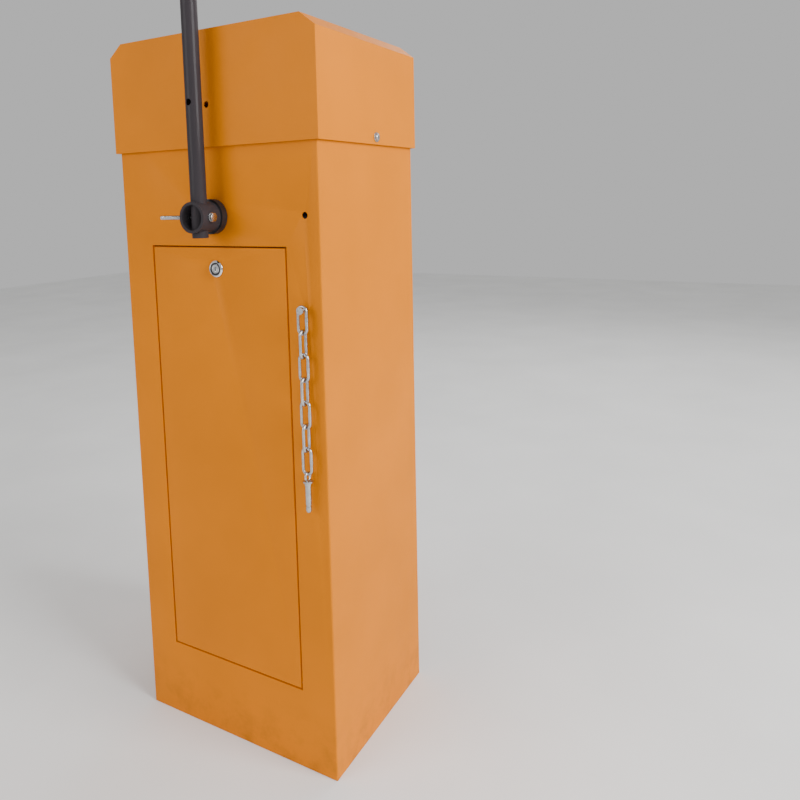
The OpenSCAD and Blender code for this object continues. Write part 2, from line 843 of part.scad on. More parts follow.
// The bearing inside the rod end, chamfered towards both faces
module rod_end_ball()
    color(zinc)
        translate([0, spring_y, pivot_top_z])
            difference() {
                union() {
                    bar_y(ball_r, -eye_half, eye_half);
                    for (side = [-1, 1])
                        rotate([-90 * side, 0, 0]) translate([0, 0, eye_half])
                            cylinder(r1 = ball_r, r2 = ball_r - ball_chamfer, h = ball_half - eye_half);
                }
                bar_y(bolt_r + seat, -2 * ball_r, 2 * ball_r);
            }

// ---------------------------------------------------------------- spring linkage

module rod_end()
    color(zinc)
        along_spring()
            difference() {
                union() {
                    bar_y(eye_r, -eye_half, eye_half);
                    translate([0, 0, -shank_end])
                        cylinder(r = shank_r, h = shank_end - eye_r - neck_len / 2);
                    translate([0, 0, -eye_r - neck_len / 2])
                        cylinder(r1 = shank_r, r2 = neck_end_r, h = neck_len);
                }
                bar_y(ball_r + run, -eye_half - eps, eye_half + eps);
                translate([0, 0, -shank_end - eps])
                    cylinder(r = rod_r + seat, h = rod_hole + eps);
            }

module tension_rod()
    color(zinc)
        along_spring()
            translate([0, 0, -coil_start - taper_len - plug_disc_t])
                cylinder(r = rod_r, h = coil_start + taper_len + plug_disc_t - shank_end + rod_grip);

module jam_nuts()
    color(zinc)
        along_spring()
            for (i = [0, 1])
                translate([0, 0, -jam_top - jam_t - i * (jam_t + air)])
                    difference() {
                        cylinder(d = bolt_af / cos(30), h = jam_t, $fn = 6);
                        translate([0, 0, -eps]) cylinder(r = rod_r + seat, h = jam_t + 2 * eps);
                    }

// A disc on the rod that the narrowing end coils bear on
module spring_plug(z)
    translate([0, 0, z])
        difference() {
            cylinder(r = plug_disc_r, h = plug_disc_t);
            translate([0, 0, -eps]) cylinder(r = rod_r + seat, h = plug_disc_t + 2 * eps);
        }

module spring_top_plug()
    color(zinc)
        along_spring() spring_plug(-coil_start - taper_len - plug_disc_t);

module spring_bottom_plug()
    color(zinc)
        along_spring() spring_plug(-coil_end + taper_len);

// Radius of the coil's middle line at a distance t along the spring
function coil_radius(t) =
    let (from_end = min(t, coil_len - t))
    from_end >= taper_len ? coil_r : taper_r + (coil_r - taper_r) * from_end / taper_len;

// The outline of the coils: one rounded rib for each turn on a thin sleeve
module coil_spring()
    color(spring_steel)
        along_spring()
            translate([0, 0, -coil_end + wire_r])
                rotate_extrude()
                    union() {
                        polygon([[taper_r - sleeve_half, 0], [taper_r + sleeve_half, 0],
                                 [coil_r + sleeve_half, taper_len],
                                 [coil_r + sleeve_half, coil_len - taper_len],
                                 [taper_r + sleeve_half, coil_len],
                                 [taper_r - sleeve_half, coil_len],
                                 [coil_r - sleeve_half, coil_len - taper_len],
                                 [coil_r - sleeve_half, taper_len]]);
                        for (i = [0 : coils])
                            translate([coil_radius(i * coil_step), i * coil_step])
                                circle(r = wire_r, $fn = 16);
                    }

module anchor_rod()
    color(black)
        along_spring()
            translate([0, 0, -spring_len + anchor_eye_r - anchor_socket])
                cylinder(r = rod_r, h = spring_bottom_gap - anchor_eye_r + anchor_socket
                                         + taper_len + plug_disc_t);

module anchor_eye()
    color(black)
        along_spring()
            translate([0, 0, -spring_len])
                difference() {
                    bar_y(anchor_eye_r, -eye_half, eye_half);
                    bar_y(bolt_r + seat, -eye_half - eps, eye_half + eps);
                    translate([0, 0, anchor_eye_r - anchor_socket])
                        cylinder(r = rod_r + seat, h = anchor_eye_r);
                }

module anchor_pin()
    color(black)
        bar_y(bolt_r, spring_y - eye_half, spring_y + eye_half, anchor_x, anchor_z);

// ---------------------------------------------------------------- lock-pin chain

// One oval link in the XZ plane, centred on the origin
module link() {
    straight = link_len / 2 - link_r - link_wire_r;
    for (end = [0, 180])
        rotate([0, end, 0])
            translate([0, 0, straight]) rotate([90, 0, 0])
                rotate_extrude(angle = 180) translate([link_r, 0]) circle(r = link_wire_r);
    for (side = [-1, 1])
        translate([side * link_r, 0, -straight]) cylinder(r = link_wire_r, h = 2 * straight);
}

// Links first to last of the hanging chain, each a quarter turn from the one before
module links(first, last)
    for (i = [first : last])
        translate([chain_x, chain_y, chain_top - link_len / 2 - i * link_pitch])
            rotate([0, 0, 90 * (i % 2)]) link();

module chain_stud()
    color(zinc) {
        bar_y(chain_stud_r, stud_disc_y, front + sheet, chain_x, chain_stud_z);
        bar_y(stud_disc_r, stud_disc_y - stud_disc_t, stud_disc_y, chain_x, chain_stud_z);
        bar_y(stud_disc_r, front + sheet, front + sheet + stud_rivet_t, chain_x, chain_stud_z);
    }

module chain_links_upper() color(zinc) links(0, upper_links - 1);

module chain_links_lower() color(zinc) links(upper_links, upper_links + lower_links - 1);

module lock_pin()
    color(zinc)
        translate([chain_x, chain_y, ring_z]) {
            rotate([90, 0, 90]) rotate_extrude() translate([ring_r, 0]) circle(r = ring_wire_r);
            translate([0, 0, -ring_r]) {
                translate([0, 0, -pin_head_h]) cylinder(r = pin_head_r, h = pin_head_h);
                translate([0, 0, -pin_head_h - pin_len]) cylinder(r = pin_r, h = pin_len);
                translate([0, 0, -pin_head_h - pin_len - pin_point_h])
                    cylinder(r1 = pin_point_r, r2 = pin_r, h = pin_point_h);
            }
        }

// ---------------------------------------------------------------- nodes

front_panel();
left_panel();
right_panel();
back_panel();
door_rebate();
door_stop_flange();
top_rim();
base_frame();
door_pivot_pins();
front_bearing_housing();
front_bush();
hub_seal_ring();
rear_bearing_housing();
rear_bush();
rear_bearing_bolts();
stop_studs();
stop_buffers();
anchor_bars();
anchor_end_plates();
anchor_bolt();
chain_stud();
lid();
lid_rest_rails();
lid_screws();
lid_nuts();
door_panel();
lock_barrel();
lock_nut();
lock_plug();
lock_cam();
cam_screw();
shaft_tube();
arm_tube();
arm_collar();
hub_bolt();
lever_collar();
lever_bar();
set_screws();
stop_collar();
lever_bolt();
lever_spacer();
lever_nut();
rod_end_ball();
rod_end();
tension_rod();
jam_nuts();
spring_top_plug();
coil_spring();
spring_bottom_plug();
anchor_rod();
anchor_eye();
anchor_pin();
chain_links_upper();
chain_links_lower();
lock_pin();
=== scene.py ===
import json
import math

import bmesh
import bpy
from mathutils import Matrix, Vector


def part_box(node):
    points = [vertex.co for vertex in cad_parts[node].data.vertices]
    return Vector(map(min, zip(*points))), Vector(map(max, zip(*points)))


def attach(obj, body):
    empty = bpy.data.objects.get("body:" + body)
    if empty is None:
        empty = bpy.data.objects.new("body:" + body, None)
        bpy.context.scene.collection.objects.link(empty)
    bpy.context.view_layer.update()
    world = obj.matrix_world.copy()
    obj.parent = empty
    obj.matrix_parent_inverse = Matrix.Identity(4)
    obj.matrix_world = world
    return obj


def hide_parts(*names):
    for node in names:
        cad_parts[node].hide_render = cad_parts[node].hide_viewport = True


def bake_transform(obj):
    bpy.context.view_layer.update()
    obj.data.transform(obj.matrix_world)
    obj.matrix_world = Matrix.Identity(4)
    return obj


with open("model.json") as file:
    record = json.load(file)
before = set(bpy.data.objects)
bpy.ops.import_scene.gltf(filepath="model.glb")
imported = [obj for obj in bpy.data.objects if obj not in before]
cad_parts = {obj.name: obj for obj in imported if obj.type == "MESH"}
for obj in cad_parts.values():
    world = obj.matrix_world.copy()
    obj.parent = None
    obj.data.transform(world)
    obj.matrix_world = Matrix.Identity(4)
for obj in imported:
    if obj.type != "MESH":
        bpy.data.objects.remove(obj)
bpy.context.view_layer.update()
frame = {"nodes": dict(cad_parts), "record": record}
nodes = frame["nodes"]
record = frame["record"]
joints = {j["name"]: j for j in record["behaviour"]["joints"]}
MM = 0.001

# Fasteners: radius and pitch of the thread, size across flats, and radius of the hole it fits
M10_R = 5 * MM
M10_PITCH = 1.5 * MM
M10_FLATS = 17 * MM
M10_HOLE_R = 5.05 * MM
M8_R = 4 * MM
M8_PITCH = 1.25 * MM
M8_FLATS = 13 * MM
M8_HOLE_R = 4.05 * MM

# ------------------------------------------------------------------ camera

FRONT_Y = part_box("front_panel")[0].y
CAMERA_X = 0.680
CAMERA_BEFORE_FRONT = 0.778
CAMERA_HEIGHT = 0.808
CAMERA_YAW = math.radians(-30.66)
CAMERA_PITCH = math.radians(6.79)
CAMERA_ROLL = math.radians(-1.56)
SENSOR_MM = 36.0
FOCAL_MM = 32.76
SHIFT = (0.061, -0.1446)


def add_camera():
    data = bpy.data.cameras.new("camera")
    data.sensor_width = SENSOR_MM
    data.lens = FOCAL_MM
    data.shift_x, data.shift_y = SHIFT
    data.clip_start = 0.01
    forward = Vector((math.sin(CAMERA_YAW) * math.cos(CAMERA_PITCH),
                      math.cos(CAMERA_YAW) * math.cos(CAMERA_PITCH),
                      -math.sin(CAMERA_PITCH)))
    level = Vector((math.cos(CAMERA_YAW), -math.sin(CAMERA_YAW), 0.0))
    upright = level.cross(forward)
    right = math.cos(CAMERA_ROLL) * level + math.sin(CAMERA_ROLL) * upright
    up = right.cross(forward)
    axes = Matrix((right, up, -forward)).transposed()
    camera = bpy.data.objects.new("camera", data)
    place = Vector((CAMERA_X, FRONT_Y - CAMERA_BEFORE_FRONT, CAMERA_HEIGHT))
    camera.matrix_world = Matrix.Translation(place) @ axes.to_4x4()
    bpy.context.scene.collection.objects.link(camera)
    bpy.context.scene.camera = camera


add_camera()

# ------------------------------------------------------------------ materials


class Nodes:
    """A short way to write a material's node tree."""

    def __init__(self, name):
        self.material = bpy.data.materials.new(name)
        self.material.use_nodes = True
        self.tree = self.material.node_tree
        self.tree.nodes.clear()
        self.shader = self.add("ShaderNodeBsdfPrincipled")
        output = self.add("ShaderNodeOutputMaterial")
        self.link(self.shader, "BSDF", output, "Surface")
        self.place = self.add("ShaderNodeTexCoord")

    def add(self, kind, **values):
        node = self.tree.nodes.new(kind)
        for key, value in values.items():
            setattr(node, key, value)
        return node

    def link(self, a, out, b, into):
        self.tree.links.new(a.outputs[out], b.inputs[into])

    def noise(self, scale, detail=2.0, stretch=(1, 1, 1), rough=0.5):
        """Noise in the part's own metres, scale in features to the metre."""
        mapping = self.add("ShaderNodeMapping")
        mapping.inputs["Scale"].default_value = stretch
        self.link(self.place, "Object", mapping, "Vector")
        node = self.add("ShaderNodeTexNoise")
        node.inputs["Scale"].default_value = scale
        node.inputs["Detail"].default_value = detail
        node.inputs["Roughness"].default_value = rough
        self.link(mapping, "Vector", node, "Vector")
        return node

    def ramp(self, source, out, stops):
        node = self.add("ShaderNodeValToRGB")
        elements = node.color_ramp.elements
        while len(elements) < len(stops):
            elements.new(0.5)
        for element, (at, colour) in zip(elements, stops):
            element.position = at
            element.color = (*colour, 1.0)
        self.link(source, out, node, "Fac")
        return node

    def span(self, source, out, low, high, from_low=0.3, from_high=0.7):
        node = self.add("ShaderNodeMapRange")
        node.inputs["From Min"].default_value = from_low
        node.inputs["From Max"].default_value = from_high
        node.inputs["To Min"].default_value = low
        node.inputs["To Max"].default_value = high
        self.link(source, out, node, "Value")
        return node

    def bump(self, source, out, height, before=None):
        """Adds a bump of that height in metres on top of an earlier one."""
        node = self.add("ShaderNodeBump")
        node.inputs["Strength"].default_value = 1.0
        node.inputs["Distance"].default_value = height
        self.link(source, out, node, "Height")
        if before:
            self.link(before, "Normal", node, "Normal")
        return node

    def colour(self, node, out="Color"):
        self.link(node, out, self.shader, "Base Color")

    def rough(self, node):
        self.link(node, "Result", self.shader, "Roughness")

    def normal(self, node):
        self.link(node, "Normal", self.shader, "Normal")

    def fixed(self, **values):
        for key, value in values.items():
            self.shader.inputs[key.replace("_", " ")].default_value = value


def shade(colour, factor):
    return tuple(c * factor for c in colour)


# Colour and height of the painted shade: the paint darkens in patches over the lowest 10 cm
LOW_SHADE = (0.20, 0.075, 0.012, 1.0)
LOW_SHADE_HEIGHT = 0.10


def powder_coat(name, colour, peel, roughness, coat):
    """Powder coat: orange peel at two scales, faint cloudiness, and patches of painted shade that
    darken the paint towards the ground.
    """
    m = Nodes(name)
    cloud = m.noise(6.0, 3.0)
    tint = m.ramp(cloud, "Fac", [(0.30, shade(colour, 0.93)), (0.70, shade(colour, 1.05))])
    # Painted shade: patchy darkening of the paint towards the ground, not dust
    shade_patches = m.noise(28.0, 6.0, rough=0.65)
    height = m.add("ShaderNodeSeparateXYZ")
    m.link(m.place, "Object", height, "Vector")
    low_down = m.span(height, "Z", 1.0, 0.0, 0.0, LOW_SHADE_HEIGHT)
    patchy = m.span(shade_patches, "Fac", 0.0, 0.5, 0.45, 0.75)
    amount = m.add("ShaderNodeMath", operation="MULTIPLY")
    m.link(low_down, "Result", amount, 0)
    m.link(patchy, "Result", amount, 1)
    low_shaded = m.add("ShaderNodeMix", data_type="RGBA")
    low_shaded.inputs["B"].default_value = LOW_SHADE
    m.link(amount, "Value", low_shaded, "Factor")
    m.link(tint, "Color", low_shaded, "A")
    m.colour(low_shaded, "Result")
    fine = m.noise(620.0, 1.0)
    broad = m.noise(190.0, 2.0)
    bump = m.bump(fine, "Fac", peel * 0.35)
    m.normal(m.bump(broad, "Fac", peel, bump))
    m.rough(m.span(m.noise(40.0, 4.0), "Fac", roughness - 0.04, roughness + 0.06))
    m.fixed(Specular_IOR_Level=0.05, Coat_Weight=coat, Coat_Roughness=0.12)
    return m.material


def metal(name, colour, roughness, spread, grain=(1, 1, 1), depth=4e-6, metallic=1.0, mottle=0.12):
    """A metal surface: uneven tone, uneven gloss and fine tool marks along one direction."""
    m = Nodes(name)
    patches = m.noise(90.0, 5.0, rough=0.6)
    m.colour(m.ramp(patches, "Fac", [(0.30, shade(colour, 1.0 - mottle)),
                                     (0.72, shade(colour, 1.0 + mottle / 2))]))
    marks = m.noise(900.0, 3.0, grain)
    m.rough(m.span(marks, "Fac", roughness - spread, roughness + spread))
    m.normal(m.bump(marks, "Fac", depth))
    m.fixed(Metallic=metallic)
    return m.material


def moulded(name, colour, roughness, grain_height):
    """Black plastic or rubber: a fine moulded grain, greyer where it has been handled."""
    m = Nodes(name)
    worn = m.noise(60.0, 5.0, rough=0.6)
    m.colour(m.ramp(worn, "Fac", [(0.35, colour), (0.80, shade(colour, 1.9))]))
    m.normal(m.bump(m.noise(1400.0, 2.0), "Fac", grain_height))
    m.rough(m.span(worn, "Fac", roughness - 0.07, roughness + 0.10))
    return m.material


MATERIALS = {
    "orange_paint": powder_coat("orange_powder_coat", (0.66, 0.190, 0.0), 7e-5, 0.34, 0.0),
    "dark_paint": powder_coat("anthracite_powder_coat", (0.036, 0.031, 0.035), 5e-5, 0.46, 0.10),
    "black_plastic": moulded("black_moulded_plastic", (0.012, 0.012, 0.014), 0.42, 1e-5),
    "rubber": moulded("black_rubber", (0.018, 0.018, 0.018), 0.75, 3e-5),
    "bronze": metal("machined_bronze", (0.50, 0.30, 0.13), 0.34, 0.08, (1, 12, 1)),
    "zinc": metal("bright_zinc_plate", (0.50, 0.51, 0.52), 0.28, 0.09, depth=6e-6, mottle=0.2),
    "chrome": metal("polished_chrome", (0.80, 0.81, 0.83), 0.10, 0.04, depth=1e-6, mottle=0.04),
    "black_steel": metal("black_oxide_steel", (0.045, 0.044, 0.047), 0.38, 0.08, metallic=0.8),
    "bare_steel": metal("bare_drawn_steel", (0.40, 0.29, 0.20), 0.30, 0.08, (12, 12, 1),
                        mottle=0.25),
    "spring_steel": metal("drawn_spring_wire", (0.46, 0.31, 0.16), 0.24, 0.07, depth=3e-6, mottle=0.2),
}

# ------------------------------------------------------------------ carried-over CAD nodes

# How far each node's edges are rounded, in millimetres, where it isn't DEFAULT_EDGE_MM
EDGE_MM = {
    "left_panel": 0.1, "right_panel": 0.1, "lid": 1.8, "door_rebate": 0.2,
    "door_stop_flange": 0.6, "base_frame": 1.2, "shaft_tube": 0.9, "arm_tube": 0.6,
    "hub_seal_ring": 2.4, "lever_bar": 1.0, "lever_collar": 1.2, "stop_collar": 1.2,
    "anchor_bars": 1.0, "anchor_eye": 1.6, "stop_buffers": 1.5, "lock_cam": 0.5,
    "arm_collar": 1.0, "rod_end_ball": 0.6,
}
DEFAULT_EDGE_MM = 0.4
SMOOTH_ANGLE = math.radians(32)
slot_of = {s["node"]: s["material_slot"] for s in record["subparts"]}


def dress(obj, slot):
    obj.data.materials.clear()
    obj.data.materials.append(MATERIALS[slot])


def round_edges(obj, width_mm):
    bevel = obj.modifiers.new("rounded_edges", "BEVEL")
    bevel.width = width_mm * MM
    bevel.segments = 3
    bevel.limit_method = "ANGLE"
    bevel.angle_limit = SMOOTH_ANGLE
    bevel.harden_normals = True


for name, obj in nodes.items():
    dress(obj, slot_of[name])
    for polygon in obj.data.polygons:
        polygon.use_smooth = True
    round_edges(obj, EDGE_MM.get(name, DEFAULT_EDGE_MM))

# ------------------------------------------------------------------ shape tools


def add_piece(name, shape, slot, body, *replaced):
    """A mesh piece that rides on a body and stands for CAD nodes."""
    obj = shape.make(name)
    dress(obj, slot)
    if body:
        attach(obj, body)
    if replaced:
        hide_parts(*replaced)
    return obj


def finish_mesh(mesh):
    """Turns every face outwards and shades it smooth up to the crisp edges."""
    work = bmesh.new()
    work.from_mesh(mesh)
    bmesh.ops.remove_doubles(work, verts=work.verts, dist=1e-6)
    bmesh.ops.recalc_face_normals(work, faces=work.faces)
    work.to_mesh(mesh)
    work.free()
    mesh.shade_smooth()
    mesh.set_sharp_from_angle(angle=SMOOTH_ANGLE)


def combine(obj, others, operation):
    """Applies a boolean of obj with each of the others, and removes the others."""
    for other in others:
        change = obj.modifiers.new("combine", "BOOLEAN")
        change.object = other
        change.operation = operation
        change.solver = "EXACT"
    seen = obj.evaluated_get(bpy.context.evaluated_depsgraph_get())
    mesh = bpy.data.meshes.new_from_object(seen)
    obj.modifiers.clear()
    obj.data = mesh
    for other in others:
        bpy.data.objects.remove(other)
    finish_mesh(mesh)


class Shape:
    """Points and faces gathered from several closed forms."""

    def __init__(self):
        self.points = []
        self.faces = []

    def add(self, rings, place, loop=False):
        """Joins rings of points, each with the same count, into a skin with flat ends, or into
        a loop. place maps a local point to the row frame."""
        first = len(self.points)
        count = len(rings[0])
        for ring in rings:
            self.points.extend(tuple(place @ Vector(p)) for p in ring)
        rows = len(rings) if loop else len(rings) - 1
        for i in range(rows):
            a = first + i * count
            b = first + (i + 1) % len(rings) * count
            for j in range(count):
                k = (j + 1) % count
                self.faces.append((a + j, a + k, b + k, b + j))
        if not loop:
            self.faces.append(tuple(first + j for j in reversed(range(count))))
            last = first + (len(rings) - 1) * count
            self.faces.append(tuple(last + j for j in range(count)))

    def make(self, name):
        mesh = bpy.data.meshes.new(name)
        mesh.from_pydata(self.points, [], self.faces)
        finish_mesh(mesh)
        obj = bpy.data.objects.new(name, mesh)
        bpy.context.scene.collection.objects.link(obj)
        return obj


def aim(origin, direction):
    """A matrix whose local +Z runs along direction from origin."""
    turn = Vector(direction).to_track_quat("Z", "X").to_matrix().to_4x4()
    return Matrix.Translation(origin) @ turn


def circle(radius, height, count):
    return [(radius * math.cos(math.tau * j / count), radius * math.sin(math.tau * j / count), height)
            for j in range(count)]


def lathe(profile, count=48):
    """Rings for a solid turned about Z, from (radius, height) pairs."""
    return [circle(r, h, count) for r, h in profile]


THREAD_STEPS = 8
THREAD_SIDES = 32


def thread(radius, pitch, start, end):
    """Rings of a screw thread whose crest winds round Z once a pitch."""
    depth = 0.6 * pitch
    rings = []
    total = max(2, round((end - start) / pitch * THREAD_STEPS))
    for i in range(total + 1):
        height = start + (end - start) * i / total
        fade = min(1.0, (total - i) / THREAD_STEPS / 1.5, i / THREAD_STEPS / 1.5)
        ring = []
        for j in range(THREAD_SIDES):
            turn = j / THREAD_SIDES
            phase = (height / pitch - turn) % 1.0
            groove = min(1.0, abs(phase - 0.5) * 2.6)
            r = radius - depth * (1.0 - groove) * fade
            ring.append((r * math.cos(math.tau * turn), r * math.sin(math.tau * turn), height))
        rings.append(ring)
    return rings


HEX_SAMPLES = 72


def hexagon(flats, low, high, chamfer_low=True, chamfer_high=True):
    """Rings of a hexagonal head or nut whose corners are turned off at 30 degrees."""
    inner = 0.485 * flats

    def ring(height, reach, face):
        points = []
        for j in range(HEX_SAMPLES):
            angle = math.tau * j / HEX_SAMPLES
            side = (angle + math.pi / 6) % (math.pi / 3) - math.pi / 6
            corner = 0.5 * flats / math.cos(side)
            r = min(corner, reach) if reach else corner
            drop = max(0.0, corner - inner) * math.tan(math.radians(30)) if face else 0.0
            points.append((r * math.cos(angle), r * math.sin(angle), height + face * drop))
        return points

    return [ring(low, inner, 0), ring(low, None, 1 if chamfer_low else 0),
            ring(high, None, -1 if chamfer_high else 0), ring(high, inner, 0)]


def with_hole(rings, radius, low, high):
    """The same solid with a round hole through it, as rings that close on themselves."""
    count = len(rings[0])
    return rings + [circle(radius, high, count), circle(radius, low, count)]


# ------------------------------------------------------------------ spring and linkage

pivot = Vector(joints["spring_turn"]["pos_m"])
spring_dir = Vector(joints["spring_stretch"]["axis"]).normalized()
anchor_low, anchor_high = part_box("anchor_pin")
anchor = (anchor_low + anchor_high) / 2
SPRING_LENGTH = (anchor - pivot).length
COIL_START = 100 * MM
COIL_END = SPRING_LENGTH - 55 * MM
WIRE_R = 2.65 * MM
COIL_R = 18.3 * MM
COIL_PITCH = 6.34 * MM
END_COIL_R = 9 * MM
TAPER_TURNS = 5
down_spring = aim(pivot, spring_dir)


def make_coil_spring():
    """The wound wire: close coils that narrow over the last turns and end square."""
    length = COIL_END - COIL_START - 2 * WIRE_R
    turns = round(length / COIL_PITCH)
    per_turn, around = 28, 12
    taper = TAPER_TURNS / turns
    rings = []
    total = turns * per_turn
    rise = length / turns
    for i in range(total + 1):
        t = i / total
        from_end = min(t, 1 - t) / taper
        radius = END_COIL_R + (COIL_R - END_COIL_R) * min(1.0, from_end)
        angle = math.tau * turns * t
        out = Vector((math.cos(angle), math.sin(angle), 0))
        centre = out * radius + Vector((0, 0, COIL_START + WIRE_R + length * t))
        along = Vector((-math.sin(angle), math.cos(angle), rise / (math.tau * radius))).normalized()
        side = along.cross(out)
        rings.append([tuple(centre + WIRE_R * (math.cos(math.tau * j / around) * out
                                               + math.sin(math.tau * j / around) * side))
                      for j in range(around)])
    shape = Shape()
    shape.add(rings, down_spring)
    spring = add_piece("coil_spring_wire", shape, "spring_steel", None, "coil_spring")
    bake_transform(spring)


def make_tension_rod():
    low = 22 * MM
    high = COIL_START + 47 * MM
    shape = Shape()
    shape.add(thread(M10_R, M10_PITCH, low, high), down_spring)
    add_piece("tension_rod_thread", shape, "zinc", "spring_upper", "tension_rod")


def make_jam_nuts():
    shape = Shape()
    for low in (39 * MM, 45.8 * MM):
        rings = hexagon(M10_FLATS, low, low + 6.5 * MM)
        shape.add(with_hole(rings, M10_HOLE_R, low, low + 6.5 * MM), down_spring, loop=True)
    add_piece("jam_nuts_chamfered", shape, "zinc", "spring_upper", "jam_nuts")


make_coil_spring()
make_tension_rod()
make_jam_nuts()

# ------------------------------------------------------------------ bolts and nuts


def middle(node):
    low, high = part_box(node)
    return (low + high) / 2


def make_hub_bolt():
    """A long bolt through the shaft and the socket tube, its threaded tail left standing out."""
    low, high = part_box("hub_bolt")
    centre = middle("hub_bolt")
    head = 4.7 * MM
    tip = high.x - head
    place = aim((0, centre.y, centre.z), (1, 0, 0))
    shape = Shape()
    shape.add(hexagon(11 * MM, tip + 0.8 * MM, high.x, chamfer_low=False), place)
    shape.add(lathe([(6.0 * MM, tip), (6.4 * MM, tip + 0.3 * MM), (6.4 * MM, tip + 0.8 * MM)]), place)
    shape.add(lathe([(3 * MM, -30 * MM), (3 * MM, tip)]), place)
    shape.add(thread(3 * MM, 1.0 * MM, low.x, -30 * MM), place)
    add_piece("hub_bolt_threaded", shape, "zinc", "boom_hub", "hub_bolt")


def make_lever_bolt():
    """A knurled socket-head screw with a hexagon socket."""
    low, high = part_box("lever_bolt")
    place = aim((0, low.y, pivot.z), (0, 1, 0))
    knurls, head_r, head = 36, 8 * MM, 10 * MM
    count = knurls * 4

    def knurled(radius, height, depth):
        return [((radius - depth * (j % 4 in (1, 2))) * math.cos(math.tau * j / count),
                 (radius - depth * (j % 4 in (1, 2))) * math.sin(math.tau * j / count), height)
                for j in range(count)]

    def socket(height):
        flats = 8 * MM
        points = []
        for j in range(count):
            angle = math.tau * j / count
            side = (angle + math.pi / 6) % (math.pi / 3) - math.pi / 6
            r = 0.5 * flats / math.cos(side)
            points.append((r * math.cos(angle), r * math.sin(angle), height))
        return points

    rings = [socket(5 * MM), socket(0.3 * MM), circle(4.9 * MM, 0, count),
             circle(7.2 * MM, 0, count), knurled(7.7 * MM, 0.7 * MM, 0),
             knurled(head_r, 1.2 * MM, 0.25 * MM), knurled(head_r, head - 1 * MM, 0.25 * MM),
             circle(7.7 * MM, head - 0.4 * MM, count), circle(5 * MM, head, count),
             circle(5 * MM, high.y - low.y - 12 * MM, count)]
    shape = Shape()
    shape.add(rings, place)
    shape.add(thread(M10_R, M10_PITCH, high.y - low.y - 12 * MM, high.y - low.y), place)
    add_piece("lever_bolt_knurled", shape, "black_steel", "boom_hub", "lever_bolt")


def make_nut_on(node, name, flats, height, place, slot, body, hole):
    shape = Shape()
    shape.add(with_hole(hexagon(flats, 0, height), hole, 0, height), place, loop=True)
    add_piece(name, shape, slot, body, node)


make_hub_bolt()
make_lever_bolt()
lever_nut_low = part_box("lever_nut")[0]
make_nut_on("lever_nut", "lever_nut_chamfered", M10_FLATS, 8 * MM,
            aim((0, lever_nut_low.y, pivot.z), (0, 1, 0)), "zinc", "boom_hub", M10_HOLE_R)


def add_bolt(shape, place, radius, pitch, flats, head, length, plain=0.0):
    """A hexagon-head bolt whose head's under face is at place and whose shank runs along +Z."""
    shape.add(hexagon(flats, -head, -0.4 * MM, chamfer_high=False), place)
    shape.add(lathe([(0.46 * flats, -0.4 * MM), (0.46 * flats, 0)]), place)
    if plain:
        shape.add(lathe([(radius, -0.2 * MM), (radius, plain)]), place)
    shape.add(thread(radius, pitch, plain - 0.1 * MM, length), place)


def add_nut(shape, place, radius, flats, height):
    shape.add(with_hole(hexagon(flats, 0, height), radius, 0, height), place, loop=True)


BACK_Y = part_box("back_panel")[1].y
hub = Vector(joints["boom_swing"]["pos_m"])


def make_rear_bearing_bolts():
    """Four bolts through the back sheet and the bearing plate, with their nuts inside."""
    low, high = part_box("rear_bearing_bolts")
    plate_front = BACK_Y - 8 * MM
    reach = (high.x - low.x) / 2 - M8_FLATS / math.sqrt(3)
    rise = (high.z - low.z) / 2 - M8_FLATS / 2
    shape = Shape()
    for side in (-1, 1):
        for up in (-1, 1):
            x, z = side * reach, hub.z + up * rise
            add_bolt(shape, aim((x, BACK_Y, z), (0, -1, 0)), M8_R, M8_PITCH, M8_FLATS, 5 * MM,
                     BACK_Y - low.y)
            add_nut(shape, aim((x, plate_front, z), (0, -1, 0)), M8_HOLE_R, M8_FLATS, 6.5 * MM)
    add_piece("rear_bearing_bolts_threaded", shape, "zinc", "cabinet", "rear_bearing_bolts")


def make_stop_studs():
    """Two studs from the back sheet that carry the rubber stops."""
    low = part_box("stop_studs")[0]
    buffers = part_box("stop_buffers")
    up_stop = (buffers[0].x + 11 * MM, buffers[1].z - 11 * MM)
    down_stop = (buffers[1].x - 11 * MM, buffers[0].z + 11 * MM)
    shape = Shape()
    for x, z in (up_stop, down_stop):
        add_bolt(shape, aim((x, BACK_Y, z), (0, -1, 0)), M10_R, M10_PITCH, M10_FLATS, 6 * MM,
                 BACK_Y - low.y)
        add_nut(shape, aim((x, BACK_Y - 2 * MM, z), (0, -1, 0)), M10_HOLE_R, M10_FLATS, 8 * MM)
    add_piece("stop_studs_threaded", shape, "zinc", "cabinet", "stop_studs")


def make_anchor_bolt():
    """The two ends of the lower pin's bolt, each in its own bar."""
    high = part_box("anchor_bolt")[1]
    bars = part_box("anchor_bars")
    shape = Shape()
    gap = anchor_high.y + 0.3 * MM
    add_bolt(shape, aim((anchor.x, bars[0].y, anchor.z), (0, 1, 0)), M10_R, M10_PITCH, M10_FLATS,
             7 * MM, 6 * MM, plain=5 * MM)
    shape.add(lathe([(M10_R, 0), (M10_R, bars[1].y - gap)]),
              aim((anchor.x, gap, anchor.z), (0, 1, 0)))
    shape.add(thread(M10_R, M10_PITCH, bars[1].y - gap - 0.1 * MM, high.y - gap),
              aim((anchor.x, gap, anchor.z), (0, 1, 0)))
    add_nut(shape, aim((anchor.x, bars[1].y, anchor.z), (0, 1, 0)), M10_HOLE_R, M10_FLATS, 8 * MM)
    add_piece("anchor_bolt_threaded", shape, "black_steel", "cabinet", "anchor_bolt")


